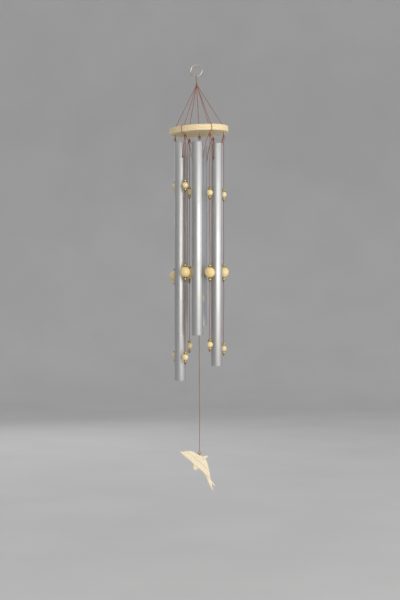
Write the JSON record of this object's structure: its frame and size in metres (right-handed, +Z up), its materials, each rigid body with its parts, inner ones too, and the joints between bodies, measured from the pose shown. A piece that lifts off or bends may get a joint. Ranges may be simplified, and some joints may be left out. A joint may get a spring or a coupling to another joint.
{
  "type": "wind chime",
  "caption": "Hanging wind chime: satin metal tubes and strings of wood and brass beads under a round pine disc, with a bead clapper and a wooden dolphin wind sail.",
  "frame": {"origin": "the top of the eye of the steel ring, where a hook bears", "axes": "+Z up along the pull of the hook, -Y to the front tube, +X to the right; the ring's eye opens along Y"},
  "size_m": [0.1179, 0.117, 0.8527],
  "materials": {
    "tube_aluminium": "satin drawn aluminium",
    "ring_steel": "nickel plated steel wire",
    "pale_pine": "sanded, clear varnished pine",
    "bead_wood": "turned, varnished hardwood bead",
    "brass": "polished brass bead",
    "cord": "twisted rust-coloured nylon cord"
  },
  "bodies": {
    "ring": {"hang_ring": "ring_steel"},
    "canopy": {"hanging_loop": "cord", "disc": "pale_pine", "centre_hanger": "cord", "centre_knot": "cord", "hanger_front_right": "cord", "hanger_right": "cord", "hanger_back_right": "cord", "hanger_back_left": "cord", "hanger_left": "cord", "hanger_front_left": "cord", "knot_front_right": "cord", "knot_right": "cord", "knot_back_right": "cord", "knot_back_left": "cord", "knot_left": "cord", "knot_front_left": "cord"},
    "sling_front": {"sling_front": "cord"},
    "tube_front": {"tube_front": "tube_aluminium"},
    "sling_front_right": {"sling_front_right": "cord"},
    "tube_front_right": {"tube_front_right": "tube_aluminium"},
    "sling_back_right": {"sling_back_right": "cord"},
    "tube_back_right": {"tube_back_right": "tube_aluminium"},
    "sling_back": {"sling_back": "cord"},
    "tube_back": {"tube_back": "tube_aluminium"},
    "sling_back_left": {"sling_back_left": "cord"},
    "tube_back_left": {"tube_back_left": "tube_aluminium"},
    "sling_front_left": {"sling_front_left": "cord"},
    "tube_front_left": {"tube_front_left": "tube_aluminium"},
    "string_front_right": {"string_front_right": "cord", "beads_upper_front_right": "bead_wood", "beads_large_front_right": "bead_wood", "beads_lower_front_right": "bead_wood"},
    "string_right": {"string_right": "cord", "beads_upper_right": "bead_wood", "beads_large_right": "bead_wood", "beads_lower_right": "bead_wood"},
    "string_back_right": {"string_back_right": "cord", "beads_upper_back_right": "bead_wood", "beads_large_back_right": "bead_wood", "beads_lower_back_right": "bead_wood"},
    "string_back_left": {"string_back_left": "cord", "beads_upper_back_left": "bead_wood", "beads_large_back_left": "bead_wood", "beads_lower_back_left": "bead_wood"},
    "string_left": {"string_left": "cord", "beads_upper_left": "bead_wood", "beads_large_left": "bead_wood", "beads_lower_left": "bead_wood"},
    "string_front_left": {"string_front_left": "cord", "beads_upper_front_left": "bead_wood", "beads_large_front_left": "bead_wood", "beads_lower_front_left": "bead_wood"},
    "clapper": {"clapper_cord_upper": "cord", "clapper_beads": "bead_wood"},
    "striker": {"clapper_cord_lower": "cord", "striker": "bead_wood"},
    "sail": {"sail_cord": "cord", "sail_bead": "brass"},
    "dolphin": {"dolphin": "pale_pine"}
  },
  "joints": [
    {"name": "canopy_sway", "type": "hinge", "parent": "ring", "child": "canopy", "pos_m": [0, 0, -0.02125], "axis": [1, 0, 0], "range_deg": [-10, 10]},
    {"name": "sling_front_swing", "type": "hinge", "parent": "canopy", "child": "sling_front", "pos_m": [0.00637, -0.04209, -0.14278], "axis": [0.9986, 0, 0.0523], "range_deg": [-6, 0.9]},
    {"name": "tube_front_rock", "type": "hinge", "parent": "sling_front", "child": "tube_front", "pos_m": [0.00637, -0.04209, -0.18655], "axis": [1, 0, 0], "range_deg": [-6, 0.9]},
    {"name": "sling_front_right_swing", "type": "hinge", "parent": "canopy", "child": "sling_front_right", "pos_m": [0.04277, -0.02104, -0.14088], "axis": [0.4993, 0.866, 0.0262], "range_deg": [-6, 0.9]},
    {"name": "tube_front_right_rock", "type": "hinge", "parent": "sling_front_right", "child": "tube_front_right", "pos_m": [0.04277, -0.02104, -0.18775], "axis": [0.5, 0.866, 0], "range_deg": [-6, 0.9]},
    {"name": "sling_back_right_swing", "type": "hinge", "parent": "canopy", "child": "sling_back_right", "pos_m": [0.04277, 0.02104, -0.14088], "axis": [-0.4993, 0.866, -0.0262], "range_deg": [-6, 0.9]},
    {"name": "tube_back_right_rock", "type": "hinge", "parent": "sling_back_right", "child": "tube_back_right", "pos_m": [0.04277, 0.02104, -0.18625], "axis": [-0.5, 0.866, 0], "range_deg": [-6, 0.9]},
    {"name": "sling_back_swing", "type": "hinge", "parent": "canopy", "child": "sling_back", "pos_m": [0.00637, 0.04209, -0.14278], "axis": [0.9986, 0, 0.0523], "range_deg": [-0.9, 6]},
    {"name": "tube_back_rock", "type": "hinge", "parent": "sling_back", "child": "tube_back", "pos_m": [0.00637, 0.04209, -0.18575], "axis": [1, 0, 0], "range_deg": [-0.9, 6]},
    {"name": "sling_back_left_swing", "type": "hinge", "parent": "canopy", "child": "sling_back_left", "pos_m": [-0.03003, 0.02104, -0.14469], "axis": [0.4993, 0.866, 0.0262], "range_deg": [-0.9, 6]},
    {"name": "tube_back_left_rock", "type": "hinge", "parent": "sling_back_left", "child": "tube_back_left", "pos_m": [-0.03003, 0.02104, -0.18575], "axis": [0.5, 0.866, 0], "range_deg": [-0.9, 6]},
    {"name": "sling_front_left_swing", "type": "hinge", "parent": "canopy", "child": "sling_front_left", "pos_m": [-0.03003, -0.02104, -0.14469], "axis": [-0.4993, 0.866, -0.0262], "range_deg": [-0.9, 6]},
    {"name": "tube_front_left_rock", "type": "hinge", "parent": "sling_front_left", "child": "tube_front_left", "pos_m": [-0.03003, -0.02104, -0.18455], "axis": [-0.5, 0.866, 0], "range_deg": [-0.9, 6]},
    {"name": "string_front_right_swing", "type": "hinge", "parent": "canopy", "child": "string_front_right", "pos_m": [0.03064, -0.04209, -0.14151], "axis": [0.866, 0.5, 0], "range_deg": [-6, 0.9]},
    {"name": "string_right_swing", "type": "hinge", "parent": "canopy", "child": "string_right", "pos_m": [0.0549, 0, -0.14024], "axis": [0, 1, 0], "range_deg": [-6, 0.9]},
    {"name": "string_back_right_swing", "type": "hinge", "parent": "canopy", "child": "string_back_right", "pos_m": [0.03064, 0.04209, -0.14151], "axis": [0.866, -0.5, 0], "range_deg": [-0.9, 6]},
    {"name": "string_back_left_swing", "type": "hinge", "parent": "canopy", "child": "string_back_left", "pos_m": [-0.0179, 0.04209, -0.14405], "axis": [0.866, 0.5, 0], "range_deg": [-0.9, 6]},
    {"name": "string_left_swing", "type": "hinge", "parent": "canopy", "child": "string_left", "pos_m": [-0.04216, 0, -0.14533], "axis": [0, 1, 0], "range_deg": [-0.9, 6]},
    {"name": "string_front_left_swing", "type": "hinge", "parent": "canopy", "child": "string_front_left", "pos_m": [-0.0179, -0.04209, -0.14405], "axis": [0.866, -0.5, 0], "range_deg": [-6, 0.9]},
    {"name": "clapper_swing", "type": "hinge", "parent": "canopy", "child": "clapper", "pos_m": [0.00637, 0, -0.14278], "axis": [1, 0, 0], "range_deg": [-3.3, 3.3]},
    {"name": "striker_swing", "type": "hinge", "parent": "clapper", "child": "striker", "pos_m": [0.00637, 0, -0.29965], "axis": [0, 1, 0], "range_deg": [-6, 6]},
    {"name": "sail_swing", "type": "hinge", "parent": "striker", "child": "sail", "pos_m": [0.00637, 0, -0.48065], "axis": [1, 0, 0], "range_deg": [-8, 8]},
    {"name": "dolphin_turn", "type": "hinge", "parent": "sail", "child": "dolphin", "pos_m": [0.00637, 0, -0.77775], "axis": [0, 0, 1], "range_deg": [-180, 180]}
  ]
}
